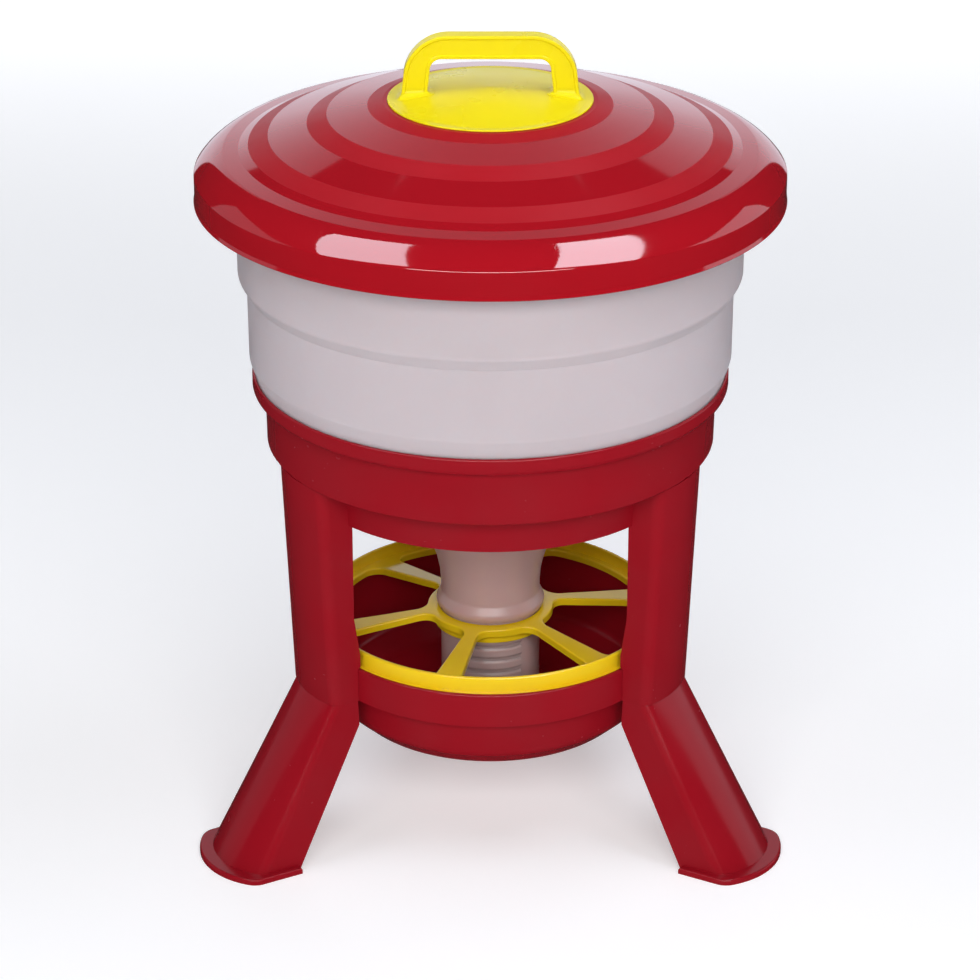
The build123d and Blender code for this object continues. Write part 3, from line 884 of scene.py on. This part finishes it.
class FEEDER_OT_hopper(bpy.types.Operator):
    """Models the hopper"""

    bl_idname = "feeder.hopper"
    bl_label = "Hopper"

    def execute(self, context):
        feeder = context.scene.feeder
        finish = natural_polypropylene("natural_hopper_polypropylene", feeder.colours.hopper, 0.34, 0.44)
        shown(make_hopper(feeder.hopper), "hopper_shell", "hopper", finish, "milky_white", "hopper")
        return {"FINISHED"}


class FEEDER_OT_regulator(bpy.types.Operator):
    """Models the regulator tube"""

    bl_idname = "feeder.regulator"
    bl_label = "Regulator tube"

    def execute(self, context):
        feeder = context.scene.feeder
        # Its pigment holds painted shade and painted red bounce over the plastic's own milky tone
        finish = natural_polypropylene("natural_tube_polypropylene_painted_shade", feeder.colours.tube, 0.28, 0.38)
        mesh = make_regulator(feeder.regulator)
        shown(mesh, "regulator_sleeve", "regulator", finish, "tube_white", "regulator_tube")
        return {"FINISHED"}


class FEEDER_OT_grid(bpy.types.Operator):
    """Finishes the grid"""

    bl_idname = "feeder.grid"
    bl_label = "Grid"

    def execute(self, context):
        colours = context.scene.feeder.colours
        finish = pigmented_polypropylene("yellow_grid_polypropylene", colours.grid, 0.12, 0.2, 0.1)
        dressed("feed_grid", finish)
        return {"FINISHED"}


class FEEDER_OT_stand(bpy.types.Operator):
    """Finishes the stand, its legs and the pan"""

    bl_idname = "feeder.stand"
    bl_label = "Stand, legs and pan"

    def execute(self, context):
        colours = context.scene.feeder.colours
        finish = pigmented_polypropylene("moulded_red_polypropylene", colours.stand, 0.16, 0.26, gloss=0.32)
        for node in ("stand_frame", "rear_leg", "left_leg", "right_leg", "feed_pan"):
            dressed(node, finish)
        return {"FINISHED"}


def set_world(scene):
    """A nearly dark room, so that gloss mirrors only the panels."""
    world = bpy.data.worlds.new("studio")
    world.use_nodes = True
    background = world.node_tree.nodes["Background"]
    background.inputs["Color"].default_value = (0.9, 0.93, 1.0, 1.0)
    background.inputs["Strength"].default_value = 0.02
    scene.world = world


def set_lights():
    """A broad front panel, a back panel in two parts, two softboxes over the lid and two side panels.

    Each has its place, the point that it faces, its width, its height, its radiance and its colour.
    """
    white = linear("#FFFFFF")
    cool = linear("#F0F4FF")
    panel_light("front_panel", (0, -3.0, 1.95), (0, 0, 0.35), 3.6, 1.1, 7.8, white)
    back = 2.4
    back_foot, back_seam, back_top = 0.05, 2.4, 3.35
    for name, width, low, high in (
        ("lower_back_panel", 2.5, back_foot, back_seam),
        ("upper_back_panel", 1.4, back_seam, back_top),
    ):
        level = (low + high) / 2
        lamp = panel_light(name, (0, back, level), (0, 0, level), width, high - low, 1.0, cool)
        fade(lamp, bottom=1.15, top=0.16, low=0.85, high=back_top)
    left = panel_light("left_softbox", (-0.619, -0.076, 1.61), (0, 0, 0), 0.502, 1.333, 3.9, cool)
    tilt(left, (0.85, -0.397, 0.346), (-0.029, 0.62, 0.784))
    right = panel_light("right_softbox", (0.517, -0.025, 1.682), (0, 0, 0), 0.433, 1.584, 5.0, cool)
    tilt(right, (0.891, 0.32, -0.323), (0.039, 0.654, 0.756))
    panel_light("left_panel", (-2.4, 0.6, 1.0), (0, 0, 0.4), 2.0, 1.8, 0.3, cool)
    panel_light("right_panel", (2.4, 0.6, 1.0), (0, 0, 0.4), 2.0, 1.8, 0.85, cool)


def set_camera(scene):
    """The camera in front, looking down on the feeder."""
    stage = scene.feeder.stage
    lens = bpy.data.cameras.new("camera")
    lens.lens = stage.focal
    lens.sensor_width = 36
    camera = bpy.data.objects.new("camera", lens)
    scene.collection.objects.link(camera)
    camera.location = (-stage.aside, -stage.distance, stage.height)
    camera.rotation_euler = (pi / 2 - stage.pitch, 0, 0)
    scene.camera = camera


class FEEDER_OT_stage(bpy.types.Operator):
    """Lays the floor and sets the lights and the camera"""

    bl_idname = "feeder.stage"
    bl_label = "Stage"

    def execute(self, context):
        scene = context.scene
        feeder = scene.feeder
        finish = opal_acrylic("opal_acrylic", feeder.colours.floor)
        make_floor(feeder.stage, finish)
        make_backdrop(feeder.stage, finish)
        set_world(scene)
        set_lights()
        set_camera(scene)
        scene.view_settings.view_transform = "Standard"
        return {"FINISHED"}


class FEEDER_PT_sidebar(bpy.types.Panel):
    """Lists the feeder's steps and sizes"""

    bl_idname = "FEEDER_PT_sidebar"
    bl_label = "Tower feeder"
    bl_space_type = "VIEW_3D"
    bl_region_type = "UI"
    bl_category = "Feeder"

    def draw(self, context):
        for step in steps:
            self.layout.operator(step.bl_idname)
        feeder = context.scene.feeder
        parts = (feeder.lid, feeder.handle, feeder.hopper, feeder.regulator)
        for group in (*parts, feeder.colours, feeder.stage):
            box = self.layout.box()
            for name in group.__annotations__:
                box.prop(group, name)


class FeederSettings(bpy.types.PropertyGroup):
    """All that a user may change."""

    lid: bpy.props.PointerProperty(type=FeederLid, name="Lid")
    handle: bpy.props.PointerProperty(type=FeederHandle, name="Handle")
    hopper: bpy.props.PointerProperty(type=FeederHopper, name="Hopper")
    regulator: bpy.props.PointerProperty(type=FeederRegulator, name="Regulator")
    colours: bpy.props.PointerProperty(type=FeederColours, name="Colours")
    stage: bpy.props.PointerProperty(type=FeederStage, name="Stage")


groups = (
    FeederLid,
    FeederHandle,
    FeederHopper,
    FeederRegulator,
    FeederColours,
    FeederStage,
    FeederSettings,
)
steps = (
    FEEDER_OT_stage,
    FEEDER_OT_stand,
    FEEDER_OT_grid,
    FEEDER_OT_regulator,
    FEEDER_OT_hopper,
    FEEDER_OT_lid,
    FEEDER_OT_handle,
)


def register():
    for kind in (*groups, *steps, FEEDER_PT_sidebar):
        bpy.utils.register_class(kind)
    bpy.types.Scene.feeder = bpy.props.PointerProperty(type=FeederSettings)


def unregister():
    del bpy.types.Scene.feeder
    for kind in reversed((*groups, *steps, FEEDER_PT_sidebar)):
        bpy.utils.unregister_class(kind)


def main():
    register()
    bpy.ops.feeder.stage()
    bpy.ops.feeder.stand()
    bpy.ops.feeder.grid()
    bpy.ops.feeder.regulator()
    bpy.ops.feeder.hopper()
    bpy.ops.feeder.lid()
    bpy.ops.feeder.handle()


if __name__ == "__main__":
    main()
